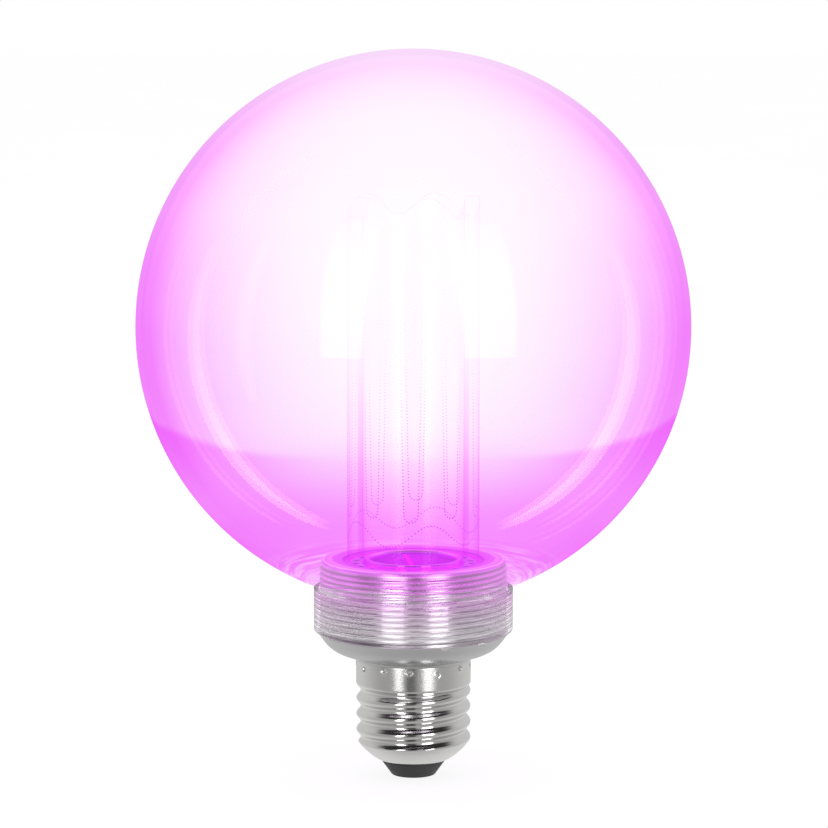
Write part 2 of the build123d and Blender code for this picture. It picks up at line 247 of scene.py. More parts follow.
def clear_tint(name, depth=None, edge=None, grazing=None, power=3.0, cap=0.68, thin=0.0, line=None,
               gloss=0.02, shine=1.0, rim=0.30, painted_tide=None, glow=None, painted_strip=None, rear=1.0, painted_rings=None):
    """Clear moulding with the lamp's magenta light painted on: the light that passes is tinted by depth(z) and,
    towards the rim, by edge(z) and grazing(z); the surface keeps a Fresnel gloss.
    line is a painted thin dark line where a face turns edge-on. painted_tide is a painted deeper step
    of the magenta light below a height on the side that faces -Y. painted_rings paints light and dark ring
    streaks into the tint over the moulding ridges at the foot (pitch, inner and outer radius, share). painted_strip is
    a painted dark strip of a thick wall beside its bore, and rear the share of gloss that is left on the side that
    faces +Y. glow is a painted glow."""
    m = Mat(name)
    vec, p = m.xyz()
    lw = m.n("ShaderNodeLayerWeight")
    lw.inputs["Blend"].default_value = 0.5
    facing = lw.outputs["Facing"]
    painted_density = None
    if depth:
        # Painted magenta lamp light, as a density over the height and towards the rim.
        f = m.math("MINIMUM", facing, cap)
        painted_density = m.curve(p[2], *depth)
        if thin:
            painted_density = m.math("MULTIPLY", painted_density, m.math("MULTIPLY_ADD", m.step(facing, 0.28, 0.75), -thin, 1.0))
        painted_density = m.math("MULTIPLY_ADD", m.curve(p[2], *edge), m.math("POWER", f, 1.25), painted_density)
        painted_density = m.math("MULTIPLY_ADD", m.curve(p[2], *grazing), m.math("POWER", f, power), painted_density)
        # Painted dark strip where the thick wall turns towards its bore.
        if painted_strip:
            strip = m.math("MULTIPLY", m.step(facing, 0.345, 0.38), m.step(facing, 0.50, 0.42))
            outer = m.step(m.math("MULTIPLY_ADD", p[0], p[0], m.math("MULTIPLY", p[1], p[1])), 0.0133 ** 2, 0.0137 ** 2)
            strip = m.math("MULTIPLY", strip, outer)
            painted_density = m.math("MULTIPLY_ADD", m.curve(p[2], *painted_strip), strip, painted_density)
        # Painted deeper step of the magenta light below a height on the -Y side.
        if painted_tide:
            z_b, near, far, fade = painted_tide
            ax = m.math("ABSOLUTE", p[0])
            bow = m.math("POWER", m.math("DIVIDE", ax, 0.058), 4.0)
            zz = m.math("SUBTRACT", p[2], m.math("MULTIPLY_ADD", bow, 0.0036, z_b))
            wob = m.span(m.noise(vec, 35.0, 1.0), 0.3, 0.7, -0.0006, 0.0006)
            zz = m.math("ADD", zz, wob)
            crisp = m.step(ax, 0.014, 0.050)
            edge_s = m.step(zz, 0.0012, -0.0012)
            amp = m.math("MULTIPLY_ADD", crisp, far - near, near)
            side = m.step(p[1], 0.006, -0.016)
            drop = m.curve(p[2], 0.045, 0.090, fade)
            t = m.math("MULTIPLY", m.math("MULTIPLY", edge_s, amp), m.math("MULTIPLY", side, drop))
            painted_density = m.math("ADD", painted_density, t)
        # Painted light and dark ring streaks in the magenta light at the foot.
        if painted_rings:
            pitch, r0, r1, share = painted_rings
            flat = m.n("ShaderNodeCombineXYZ")
            m.t.links.new(p[0], flat.inputs[0])
            m.t.links.new(p[1], flat.inputs[1])
            size = m.n("ShaderNodeVectorMath", operation="LENGTH")
            m.t.links.new(flat.outputs[0], size.inputs[0])
            rad = size.outputs["Value"]
            turn = m.n("ShaderNodeCombineXYZ")
            m.t.links.new(m.math("DIVIDE", rad, pitch), turn.inputs[0])
            m.t.links.new(m.math("DIVIDE", m.math("MULTIPLY", p[0], 2.2), rad), turn.inputs[1])
            m.t.links.new(m.math("DIVIDE", m.math("MULTIPLY", p[1], 2.2), rad), turn.inputs[2])
            wave = m.span(m.noise(turn.outputs[0], 1.0, 2.0), 0.41, 0.59, -1.17, 0.35)
            wave = m.math("MULTIPLY", wave, m.math("MULTIPLY", m.step(rad, r1, r0), m.step(p[2], 0.062, 0.054)))
            painted_density = m.math("MULTIPLY", painted_density, m.math("MULTIPLY_ADD", wave, share, 1.0))
        cloud = m.noise(vec, 26.0, 2.0)
        painted_density = m.math("MULTIPLY", painted_density, m.span(cloud, 0.3, 0.7, 0.94, 1.06))
    # Painted thin dark line where a face turns edge-on; the variable thread holds it.
    if line:
        thread = m.math("MULTIPLY", m.curve(p[2], *line), m.math("POWER", facing, 14.0))
        thread = m.math("MULTIPLY", thread, m.span(m.noise(vec, 30.0, 2.0), 0.3, 0.7, 0.8, 1.2))
        painted_density = thread if painted_density is None else m.math("ADD", painted_density, thread)
    # The painted density becomes the painted magenta light that passes.
    col = m.n("ShaderNodeCombineColor")
    for i, k in enumerate((0.07, 1.0, 0.017)):
        m.t.links.new(m.math("EXPONENT", m.math("MULTIPLY", painted_density, -k)), col.inputs[i])
    colour = col.outputs[0]
    see = m.n("ShaderNodeBsdfTransparent")
    m.t.links.new(colour, see.inputs["Color"])
    base = see.outputs[0]
    # Painted glow on the glass, which is no lamp.
    if glow:
        em = m.n("ShaderNodeEmission")
        em.inputs["Color"].default_value = glow[0] + (1,)
        m.put(em.inputs["Strength"], m.curve(p[2], *glow[1]))
        add = m.n("ShaderNodeAddShader")
        m.t.links.new(base, add.inputs[0])
        m.t.links.new(em.outputs[0], add.inputs[1])
        base = add.outputs[0]
    glo = m.n("ShaderNodeBsdfAnisotropic")
    glo.inputs["Color"].default_value = (1, 1, 1, 1)
    glo.inputs["Roughness"].default_value = gloss
    f5 = m.math("POWER", facing, 5.0)
    fres = m.math("MULTIPLY_ADD", f5, rim * shine, 0.042 * shine)
    if rear < 1.0:
        fres = m.math("MULTIPLY", fres, m.math("MULTIPLY_ADD", m.step(p[1], 0.020, -0.010), 1.0 - rear, rear))
    mix = m.n("ShaderNodeMixShader")
    m.t.links.new(fres, mix.inputs[0])
    m.t.links.new(base, mix.inputs[1])
    m.t.links.new(glo.outputs[0], mix.inputs[2])
    shader = mix.outputs[0]
    return m.end(shader)


def neck_glass(name, depth=None):
    """Clear glass of the neck, with the lamp's magenta light painted on as a tint that grows towards the globe."""
    m = Mat(name)
    vec, p = m.xyz()
    cloud = m.span(m.noise(vec, 60.0, 2.0), 0.3, 0.7, 0.94, 1.06)
    painted_density = m.math("MULTIPLY", m.curve(p[2], *depth), cloud)
    col = m.n("ShaderNodeCombineColor")
    for i, k in enumerate((0.07, 1.0, 0.017)):
        m.t.links.new(m.math("EXPONENT", m.math("MULTIPLY", painted_density, -k)), col.inputs[i])
    glass = m.n("ShaderNodeBsdfGlass")
    glass.inputs["Roughness"].default_value = 0.0
    glass.inputs["IOR"].default_value = 1.47
    m.t.links.new(col.outputs[0], glass.inputs["Color"])
    return m.end(glass.outputs[0])


# ---------------------------------------------------------------------------
# Materials
# ---------------------------------------------------------------------------
MAT = {}
# Painted magenta lamp light, as the density of one wall over the height, in metres; the painted tint sits on the outer
# face.
MAT["globe"] = clear_tint(
    "clear_globe",
    (0.033, 0.167, [(0.033, 0.02), (0.0373, 0.10), (0.0408, 0.24), (0.043, 0.30), (0.0455, 0.44), (0.047, 0.75), (0.0485, 0.90),
                    (0.0506, 0.86), (0.0534, 0.88), (0.0563, 0.80), (0.0595, 0.60), (0.063, 0.40), (0.0665, 0.24),
                    (0.0706, 0.12), (0.074, 0.07), (0.078, 0.05), (0.086, 0.04), (0.100, 0.032), (0.112, 0.020),
                    (0.124, 0.008), (0.140, 0.003), (0.167, 0.003)]),
    (0.033, 0.167, [(0.033, 0.0), (0.0435, 0.0), (0.047, 0.08), (0.058, 0.20), (0.066, 0.42), (0.074, 0.70),
                    (0.082, 0.90), (0.095, 0.95), (0.103, 0.95), (0.120, 0.74), (0.131, 0.42), (0.141, 0.22),
                    (0.150, 0.10), (0.159, 0.03), (0.167, 0.0)]),
    (0.033, 0.167, [(0.033, 0.0), (0.0425, 0.0), (0.0455, 0.15), (0.048, 0.70), (0.056, 0.80), (0.063, 0.45), (0.080, 0.55), (0.103, 0.60),
                    (0.120, 0.72), (0.141, 1.15), (0.150, 1.06), (0.159, 0.74), (0.167, 0.46)]),
    thin=0.45, shine=0.70, rim=0.076,
    painted_tide=(0.0808, 0.06, 0.62, [(0.045, 0.0), (0.055, 0.3), (0.068, 0.75), (0.078, 1.0), (0.090, 1.0)]),
    rear=0.05, painted_rings=(0.0009, 0.0265, 0.0345, 0.85),
)
MAT["neck"] = neck_glass("clear_neck", (0.033, 0.052, [(0.033, 0.0), (0.0373, 0.04), (0.0408, 0.12), (0.043, 0.22), (0.0455, 0.36), (0.0475, 0.50), (0.052, 0.60)]))
MAT["neck_in"] = neck_glass("clear_neck_bore", (0.033, 0.052, [(0.033, 0.0), (0.040, 0.01), (0.052, 0.03)]))
# Inner skin: a painted thin dark edge line and a painted white glow.
MAT["globe_in"] = clear_tint(
    "clear_globe_inner",
    line=(0.033, 0.167, [(0.033, 0.02), (0.080, 0.02), (0.098, 0.10), (0.110, 0.30), (0.130, 0.28), (0.146, 0.08), (0.167, 0.02)]),
    shine=0.70, rim=0.054, rear=0.05,
    glow=((1.0, 0.97, 1.0), (0.033, 0.167, [(0.033, 0.0), (0.085, 0.0), (0.100, 0.008), (0.115, 0.026), (0.130, 0.054), (0.150, 0.052), (0.160, 0.038), (0.167, 0.030)])))
# Light guide: painted magenta lamp light as a tint, a painted dark strip beside the bore and a painted glow.
MAT["tube"] = clear_tint(
    "clear_guide",
    (0.045, 0.140, [(0.045, 0.04), (0.055, 0.028), (0.070, 0.012), (0.090, 0.004), (0.110, 0.001), (0.14, 0.001)]),
    (0.045, 0.140, [(0.045, 0.04), (0.060, 0.04), (0.080, 0.03), (0.100, 0.015), (0.12, 0.006), (0.14, 0.006)]),
    (0.045, 0.140, [(0.045, 0.75), (0.060, 0.60), (0.075, 0.30), (0.090, 0.10), (0.105, 0.04), (0.125, 0.04), (0.131, 0.11), (0.14, 0.11)]),
    power=4.0, cap=1.0, gloss=0.02, shine=0.20, rim=0.12,
    painted_strip=(0.045, 0.140, [(0.045, 0.06), (0.052, 0.20), (0.062, 0.26), (0.072, 0.24), (0.082, 0.14), (0.095, 0.04), (0.105, 0.0), (0.14, 0.0)]),
    glow=((1.0, 0.92, 1.0), (0.045, 0.140, [(0.045, 0.006), (0.060, 0.022), (0.072, 0.034), (0.085, 0.022), (0.105, 0.012), (0.14, 0.010)])),
)


def etched():
    """Frosted dots with the coloured light they catch painted on, as magenta colour and painted glow, strongest near
    the foot.
    """
    m = Mat("etched_dots")
    vec, p = m.xyz()
    show = m.curve(p[2], 0.045, 0.140, [(0.045, 1.0), (0.064, 1.0), (0.074, 0.75), (0.084, 0.40), (0.094, 0.14), (0.104, 0.05), (0.14, 0.03)])
    cloud = m.span(m.noise(vec, 900.0, 1.0), 0.3, 0.7, 0.85, 1.15)
    height = m.span(m.math("MULTIPLY", p[2], cloud), 0.045, 0.14, 0.0, 1.0)
    # The magenta colour and the glow of the dots are painted lamp light.
    matt = m.n("ShaderNodeBsdfDiffuse")
    m.t.links.new(m.ramp(height, [(0.0, (0.30, 0.02, 0.40)), (1.0, (0.45, 0.15, 0.50))]), matt.inputs["Color"])
    painted_light = m.n("ShaderNodeEmission")
    m.t.links.new(m.ramp(height, [(0.0, (0.50, 0.0, 0.60)), (0.5, (0.60, 0.04, 0.70)), (1.0, (0.75, 0.35, 0.80))]), painted_light.inputs["Color"])
    painted_light.inputs["Strength"].default_value = 0.85
    both = m.n("ShaderNodeAddShader")
    m.t.links.new(matt.outputs[0], both.inputs[0])
    m.t.links.new(painted_light.outputs[0], both.inputs[1])
    see = m.n("ShaderNodeBsdfTransparent")
    see.inputs["Color"].default_value = (1, 1, 1, 1)
    mix = m.n("ShaderNodeMixShader")
    m.t.links.new(show, mix.inputs[0])
    m.t.links.new(see.outputs[0], mix.inputs[1])
    m.t.links.new(both.outputs[0], mix.inputs[2])
    return m.end(mix.outputs[0])


MAT["dots"] = etched()


def metal(name, tone, rough, spread=0.05, grain=900.0, bump=0.05, dist=0.00004, high=None, painted_light=None):
    """Metal with cloudy tone, fine grain and uneven polish. high is (z from, z to,
    tone factor, roughness factor, bump factor) for the part of the piece above, and
    painted_light (z from, z to, colour, strength) the painted glow of the coloured light on the part above, stronger on
    the thread crests."""
    m = Mat(name)
    vec, p = m.xyz()
    cloud = m.noise(vec, 120.0, 4.0, 0.6)
    fine = m.noise(vec, grain, 3.0, 0.6)
    lo = tuple(c * (1 - spread) for c in tone)
    hi = tuple(min(1.0, c * (1 + spread)) for c in tone)
    col = m.ramp(cloud, [(0.3, lo), (0.7, hi)])
    r = m.span(m.math("ADD", m.math("MULTIPLY", cloud, 0.6), m.math("MULTIPLY", fine, 0.4)),
               0.3, 0.7, rough * 0.8, rough * 1.25)
    height = fine
    if high:
        up = m.step(p[2], high[0], high[1])
        scale = m.math("MULTIPLY_ADD", up, high[2] - 1.0, 1.0)
        mul = m.n("ShaderNodeVectorMath", operation="SCALE")
        m.t.links.new(col, mul.inputs[0])
        m.t.links.new(scale, mul.inputs["Scale"])
        col = mul.outputs[0]
        r = m.math("MULTIPLY", r, m.math("MULTIPLY_ADD", up, high[3] - 1.0, 1.0))
        height = m.math("MULTIPLY", fine, m.math("MULTIPLY_ADD", up, high[4] - 1.0, 1.0))
    if painted_light:
        inner = m.step(p[2], painted_light[0], painted_light[1])
        r = m.math("MULTIPLY", r, m.math("MULTIPLY_ADD", inner, -0.15, 1.0))
    b = m.principled(Base_Color=col, Metallic=1.0, Roughness=r, Normal=m.bump(height, bump, dist))
    # Painted glow of the coloured light, stronger on the thread crests.
    if painted_light:
        b.inputs["Emission Color"].default_value = painted_light[2] + (1,)
        turn = m.math("MULTIPLY_ADD", p[2], 2 * math.pi / (FINE_PITCH * MM), -40.0 * 2 * math.pi / FINE_PITCH)
        crest = m.math("COSINE", m.math("SUBTRACT", turn, m.math("ARCTAN2", p[1], p[0])))
        painted_wash = m.math("MULTIPLY", inner, m.math("MULTIPLY_ADD", crest, 0.42, 0.58))
        painted_wash = m.math("MULTIPLY", painted_wash, m.span(cloud, 0.3, 0.7, 0.7, 1.3))
        m.put(b.inputs["Emission Strength"], m.math("MULTIPLY", painted_wash, painted_light[3]))
    return m.end(b.outputs[0])


def plastic(name, tone, rough, spread=0.12, grain=700.0, bump=0.12, dist=0.00005):
    m = Mat(name)
    vec, p = m.xyz()
    cloud = m.noise(vec, 90.0, 4.0, 0.6)
    fine = m.noise(vec, grain, 3.0, 0.6)
    lo = tuple(c * (1 - spread) for c in tone)
    hi = tuple(min(1.0, c * (1 + spread)) for c in tone)
    col = m.ramp(m.math("ADD", m.math("MULTIPLY", cloud, 0.7), m.math("MULTIPLY", fine, 0.3)),
                 [(0.35, lo), (0.65, hi)])
    r = m.span(fine, 0.3, 0.7, rough * 0.85, rough * 1.15)
    b = m.principled(Base_Color=col, Roughness=r, Normal=m.bump(fine, bump, dist))
    return m.end(b.outputs[0])


def lit_metal(name, tones, rough, strength, bump=0.02, rim=(1, 1, 1)):
    """Silver face with the coloured light beside it painted on. tones is a list of
    (radius in mm, colour that carries the painted reflection of that light, glow, painted where the face is no lamp)."""
    m = Mat(name)
    vec, p = m.xyz()
    flat = m.n("ShaderNodeCombineXYZ")
    m.t.links.new(p[0], flat.inputs[0])
    m.t.links.new(p[1], flat.inputs[1])
    size = m.n("ShaderNodeVectorMath", operation="LENGTH")
    m.t.links.new(flat.outputs[0], size.inputs[0])
    top = max(t[0] for t in tones) * MM
    wob = m.span(m.noise(vec, 220.0, 2.0), 0.3, 0.7, -0.00006, 0.00006)
    rr = m.math("DIVIDE", m.math("ADD", size.outputs["Value"], wob), top)
    col = m.ramp(rr, [(t[0] * MM / top, t[1]) for t in tones])
    glow = m.ramp(rr, [(t[0] * MM / top, t[2]) for t in tones])
    fine = m.noise(vec, 900.0, 2.0, 0.6)
    r = m.span(fine, 0.3, 0.7, rough * 0.85, rough * 1.15)
    b = m.principled(Base_Color=col, Metallic=1.0, Roughness=r, Emission_Color=glow,
                     Emission_Strength=strength, Normal=m.bump(fine, bump, 0.00001))
    # rim tints the reflections with the painted coloured light.
    b.inputs["Specular Tint"].default_value = rim + (1,)
    return m.end(b.outputs[0])


MAT["nickel"] = metal("nickel_plate", (0.80, 0.795, 0.785), 0.12, 0.03, 700.0, 0.03, 0.00004, (0.0215, 0.0225, 0.96, 1.9, 5.0))
# Satin silver; the threaded part above the bowl is painted lighter, and from 40 to 48 mm it carries painted magenta
# light.
MAT["housing"] = metal("satin_silver", (0.60, 0.598, 0.60), 0.30, 0.04, 1400.0, 0.10, 0.00004, (0.0336, 0.0342, 1.12, 1.05, 1.0), (0.0400, 0.0480, (0.95, 0.40, 1.0), 0.50))
# Cover plate: magenta lamp light painted on, with a painted dark ring of shade in the groove by the tube's foot
# (15.5-16 mm) and painted bright rings of highlight near the rim (19 and 20.45-20.66 mm).
MAT["plate"] = lit_metal("lit_silver_plate", [
    (0.0, (0.62, 0.16, 0.76), (0.60, 0.05, 0.72)), (15.2, (0.62, 0.16, 0.76), (0.64, 0.06, 0.76)),
    (15.5, (0.62, 0.05, 0.72), (0.54, 0.0, 0.62)), (16.0, (0.62, 0.08, 0.72), (0.54, 0.0, 0.62)),
    (16.4, (0.70, 0.20, 0.80), (0.66, 0.10, 0.74)), (18.2, (0.72, 0.26, 0.82), (0.68, 0.14, 0.76)), (19.0, (0.85, 0.60, 0.92), (0.74, 0.40, 0.82)),
    (20.1, (0.78, 0.40, 0.86), (0.70, 0.26, 0.78)), (20.45, (0.95, 0.82, 0.98), (0.85, 0.52, 0.92)), (20.66, (0.95, 0.82, 0.98), (0.85, 0.52, 0.92)), (20.74, (0.80, 0.52, 0.88), (0.55, 0.16, 0.66)), (20.8, (0.80, 0.52, 0.88), (0.55, 0.16, 0.66))], 0.24, 0.72, 0.02, (0.86, 0.52, 0.92))
# Reflector: magenta lamp light painted on as colour and glow, with a painted bright ring of highlight on the rounded
# rim (10.4-11 mm).
MAT["dish"] = lit_metal("lit_reflector", [
    (0.0, (0.74, 0.020, 0.86), (0.80, 0.004, 0.90)), (5.0, (0.70, 0.018, 0.82), (0.70, 0.002, 0.82)), (7.5, (0.62, 0.014, 0.76), (0.58, 0.001, 0.72)),
    (9.2, (0.56, 0.010, 0.70), (0.50, 0.0, 0.62)), (9.9, (0.70, 0.12, 0.90), (0.70, 0.08, 0.86)),
    (10.4, (0.95, 0.45, 1.0), (0.95, 0.28, 1.0)), (11.0, (0.95, 0.42, 1.0), (0.95, 0.24, 1.0)),
    (11.45, (0.70, 0.10, 0.90), (0.60, 0.03, 0.80))], 0.015, 0.55, 0.0, (0.70, 0.04, 0.88))
MAT["black"] = plastic("matt_black", (0.022, 0.022, 0.024), 0.55, 0.15)
MAT["contact"] = metal("tinned_brass", (0.72, 0.68, 0.58), 0.25)
# White board, given a pink colour that is painted magenta lamp light.
MAT["board_white"] = plastic("white_mask", (0.80, 0.62, 0.84), 0.45, 0.05)
MAT["led"] = lit_metal("lit_package", [(0.0, (0.75, 0.40, 0.84), (0.75, 0.14, 0.90)), (12.9, (0.75, 0.40, 0.84), (0.70, 0.10, 0.86)),
                                       (16.0, (0.70, 0.36, 0.80), (0.75, 0.14, 0.90))], 0.35, 0.45)
MAT["steel"] = metal("zinc_steel", (0.60, 0.60, 0.61), 0.3)
MAT["alu"] = metal("pressed_aluminium", (0.75, 0.75, 0.76), 0.35)
MAT["fr4"] = plastic("green_mask", (0.03, 0.17, 0.07), 0.4, 0.25)
MAT["module"] = plastic("blue_mask", (0.02, 0.04, 0.13), 0.4, 0.25)
MAT["sleeve"] = plastic("black_sleeve", (0.03, 0.03, 0.035), 0.3)
MAT["film"] = plastic("yellow_case", (0.55, 0.40, 0.06), 0.4)
MAT["ferrite"] = plastic("ferrite", (0.06, 0.06, 0.065), 0.5, 0.3)
MAT["copper"] = metal("enamelled_copper", (0.62, 0.27, 0.13), 0.3, 0.12, 2500.0, 0.2)
MAT["resistor"] = plastic("resistor_coat", (0.08, 0.27, 0.32), 0.4)
MAT["epoxy"] = plastic("epoxy_moulding", (0.035, 0.035, 0.04), 0.5)
MAT["tin"] = metal("tinned_steel", (0.66, 0.66, 0.66), 0.3)
MAT["red"] = plastic("red_insulation", (0.42, 0.02, 0.02), 0.45)
MAT["black_wire"] = plastic("black_insulation", (0.02, 0.02, 0.022), 0.45)


def paint(ob, key):
    ob.data.materials.clear()
    ob.data.materials.append(MAT[key])


# ---------------------------------------------------------------------------
# Globe: sphere and neck in one wall, fine thread inside the neck
# ---------------------------------------------------------------------------
def ridge(x):
    """Rounded thread ridge over one turn, 0 to 1, x in turns."""
    t = np.abs(((x + 0.5) % 1.0) - 0.5)
    return np.clip(1.0 - np.clip((t - 0.10) / 0.17, 0, 1), 0, 1) ** 1.0 * 1.0


def soft_ridge(x):
    s = ridge(x)
    return s * s * (3 - 2 * s)


def two_skins(ob, outer, inner, inside):
    """Outer faces take one finish, faces of the inner skin the other."""
    ob.data.materials.append(MAT[outer])
    ob.data.materials.append(MAT[inner])
    mid = np.zeros(len(ob.data.polygons) * 3)
    ob.data.polygons.foreach_get("center", mid)
    mid = mid.reshape(-1, 3) / MM
    rr = np.hypot(mid[:, 0], mid[:, 1])
    ob.data.polygons.foreach_set("material_index", inside(rr, mid[:, 2]).astype(np.int32))


CUT = 43.6  # height where the straight collar of the neck ends


def make_globe():
    """Sphere and the rounded step down to the neck."""
    ri, soft = GLOBE_R - GLOBE_WALL, 1.6
    zc = GLOBE_Z - math.sqrt((GLOBE_R + NECK_FILLET) ** 2 - (NECK_R + NECK_FILLET) ** 2)
    ang = math.degrees(math.atan2(zc - GLOBE_Z, NECK_R + NECK_FILLET))  # sphere tangent point
    zi = GLOBE_Z - math.sqrt((ri + soft) ** 2 - (NECK_BORE + soft) ** 2)
    a_in = math.degrees(math.atan2(zi - GLOBE_Z, NECK_BORE + soft))
    rows = [(NECK_R, CUT + 0.02)] + arc(NECK_R + NECK_FILLET, zc, NECK_FILLET, 180, 180 + ang, 9)
    rows += arc(0, GLOBE_Z, GLOBE_R, ang, 90, 98)[1:-1] + [(0.0, GLOBE_Z + GLOBE_R), (0.0, GLOBE_Z + ri)]
    first_in = len(rows)
    rows += arc(0, GLOBE_Z, ri, 90, -56.0, 76)[1:] + arc(0, GLOBE_Z, ri, -56.0, a_in, 52)[1:]
    rows += arc(NECK_BORE + soft, zi, soft, 180 + a_in, 180, 8)[1:] + [(NECK_BORE, CUT + 0.02)]

    def shape(i, r, z, th):
        if z[0] < 51.5 and i > first_in:
            lift = 0.05 * soft_ridge(r / 1.15 - th / (2 * math.pi)) * np.clip((33.0 - r) / 8.0, 0, 1) * np.clip((r - 23.5) / 0.8, 0, 1)
            r, z = r - 0.45 * lift, z + 0.89 * lift
        return r, z

    ob = lathe("clear_globe", rows, 224, closed=True, shape=shape, sharp=50)
    two_skins(ob, "globe", "globe_in", lambda r, z: np.where(z > 46.4, np.hypot(r, z - GLOBE_Z) < GLOBE_R - 0.4, (z < 45.2) & (r < NECK_BORE + 0.6) | (np.hypot(r, z - GLOBE_Z) < GLOBE_R - 0.4) & (z >= 45.2)))
    return ob


def make_neck():
    """Straight collar of the globe with the fine thread on its inner side."""
    rows = [(NECK_BORE + 0.08, NECK_BOTTOM)]
    rows += arc(NECK_R - 0.85, NECK_BOTTOM + 0.85, 0.85, -90, 0, 9)
    rows += line((NECK_R, NECK_BOTTOM + 1.2), (NECK_R, CUT), 13)
    rows += [(NECK_R, CUT)]
    first_bore = len(rows)
    rows += line((NECK_BORE, CUT), (NECK_BORE, NECK_BOTTOM + 0.5), 140) + [(NECK_BORE, NECK_BOTTOM + 0.5), (NECK_BORE + 0.1, NECK_BOTTOM + 0.12)]

    def shape(i, r, z, th):
        if i >= first_bore and z[0] > NECK_BOTTOM + 0.4:
            fade = np.clip((z - NECK_BOTTOM - 0.4) / 1.2, 0, 1) * np.clip((CUT - z) / 0.6, 0, 1)
            turn = (z - 40.0) / FINE_PITCH - th / (2 * math.pi) + 0.5
            r = r - 0.10 * fade * soft_ridge(turn)
        return r, z

    ob = lathe("clear_neck", rows, 224, closed=True, shape=shape, sharp=50)
    two_skins(ob, "neck", "neck_in", lambda r, z: r < NECK_BORE + 0.6)
    return ob


globe = make_globe()
neck = make_neck()


def make_lugs():
    """Stop lugs on the neck's lower edge, part of the same moulding."""
    verts, faces = [], []
    for a, width in ((-70.5, 3.0), (-47.0, 2.2), (109.5, 3.0), (133.0, 2.2)):
        n = 8
        base = len(verts)
        for i in range(n + 1):
            t = math.radians(a) + (i / n - 0.5) * width / 22.2
            s = abs(i / n - 0.5) * 2
            drop = 0.72 * (1 - max(0, s - 0.75) / 0.25 * 0.6)
            for r, z in ((21.9, NECK_BOTTOM + 0.05), (21.95, NECK_BOTTOM - drop), (22.42, NECK_BOTTOM - drop), (22.5, NECK_BOTTOM + 0.05)):
                verts.append((r * math.cos(t) * MM, r * math.sin(t) * MM, z * MM))
        for i in range(n):
            for k in range(4):
                q = (k + 1) % 4
                faces.append((base + 4 * i + k, base + 4 * i + q, base + 4 * i + 4 + q, base + 4 * i + 4 + k))
        faces.append(tuple(base + k for k in range(4)))
        faces.append(tuple(base + 4 * n + k for k in range(4)))
    me = bpy.data.meshes.new("neck_lugs")
    me.from_pydata(verts, [], faces)
    ob = finish_mesh("neck_lugs", me, 30)
    mod = ob.modifiers.new("round", "BEVEL")
    mod.width = 0.00012
    mod.segments = 2
    mod.limit_method = "ANGLE"
    return ob


lugs = make_lugs()
paint(lugs, "neck")

# ---------------------------------------------------------------------------
# Light guide: thick tube with a wavy crown, and its etched dots
# ---------------------------------------------------------------------------
def crown(th):
    return CROWN_Z + CROWN_WAVE * np.cos(CROWN_N * (th - CROWN_PEAK))


def make_tube():
    b = 0.35
    rows = [(TUBE_BORE, TUBE_BOTTOM + b), (TUBE_BORE + b, TUBE_BOTTOM), (TUBE_R - b, TUBE_BOTTOM), (TUBE_R, TUBE_BOTTOM + b)]
    out_n, in_n = 60, 60
    tags = ["f"] * 4
    for i in range(1, out_n + 1):
        rows.append((TUBE_R, i / out_n)); tags.append("o")
    for k, (dr, dz) in enumerate(((0.06, 0.25), (0.25, 0.06), (0.5, 0.0))):
        rows.append((TUBE_R - dr, -dz + 1e-9)); tags.append("t%g" % (b * 1.0 - 0.0 if k == 9 else dz))
    for k, (dr, dz) in enumerate(((0.5, 0.0), (0.25, 0.06), (0.06, 0.25))):
        rows.append((TUBE_BORE + dr, -dz + 1e-9)); tags.append("t%g" % dz)
    for i in range(in_n, 0, -1):
        rows.append((TUBE_BORE, i / in_n)); tags.append("o")

    def shape(i, r, z, th):
        top = crown(th)
        if tags[i] == "o":
            z = TUBE_BOTTOM + b + (top - 0.55 - TUBE_BOTTOM - b) * z
        elif tags[i][0] == "t":
            z = top - float(tags[i][1:])
        return r, z

    return lathe("light_guide", rows, 240, closed=True, shape=shape, sharp=60)


tube = make_tube()
paint(tube, "tube")


def make_dots():
    """Dots etched into the guide's outer wall: ten hairpin loops whose arms run up
    to the crown, and a five-wave line round the foot."""
    step, rad, lift = 0.74, 0.165, 0.012
    pts = []
    for k in range(10):
        mid = math.radians(-90 + 1.0 + 36 * k - 3)
        z_low = 60.8 + (0.7 if k % 2 else 0.0)
        half = 1.55
        n = 7
        for i in range(n + 1):
            a = math.pi + math.pi * i / n
            pts.append((mid + half * math.cos(a) / TUBE_R, z_low + half + half * math.sin(a)))
        for s in (-1, 1):
            z = z_low + half + step
            while True:
                up = (z - z_low) / 66.0
                w = half + 1.25 * min(1.0, max(0.0, up)) ** 0.85
                t = mid + s * w / TUBE_R
                if z > float(crown(np.array(t))) - 1.6:
                    break
                pts.append((t, z))
                z += step
    n = 130
    for i in range(n):
        t = 2 * math.pi * i / n
        pts.append((t, 57.5 + 2.5 * math.cos(CROWN_N * (t - CROWN_PEAK))))
    verts, faces = [], []
    r = TUBE_R + lift
    for t, z in pts:
        base = len(verts)
        verts.append(((r + 0.01) * math.cos(t), (r + 0.01) * math.sin(t), z))
        for k in range(7):
            a = 2 * math.pi * k / 7
            tt = t + rad * math.cos(a) / r
            verts.append((r * math.cos(tt), r * math.sin(tt), z + rad * math.sin(a)))
        for k in range(7):
            faces.append((base, base + 1 + k, base + 1 + (k + 1) % 7))
    me = bpy.data.meshes.new("etched_dots")
    me.from_pydata((np.array(verts) * MM).tolist(), [], faces)
    me.update()
    me.polygons.foreach_set("use_smooth", [True] * len(me.polygons))
    ob = bpy.data.objects.new("etched_dots", me)
    scene.collection.objects.link(ob)
    return ob


dots = make_dots()
paint(dots, "dots")

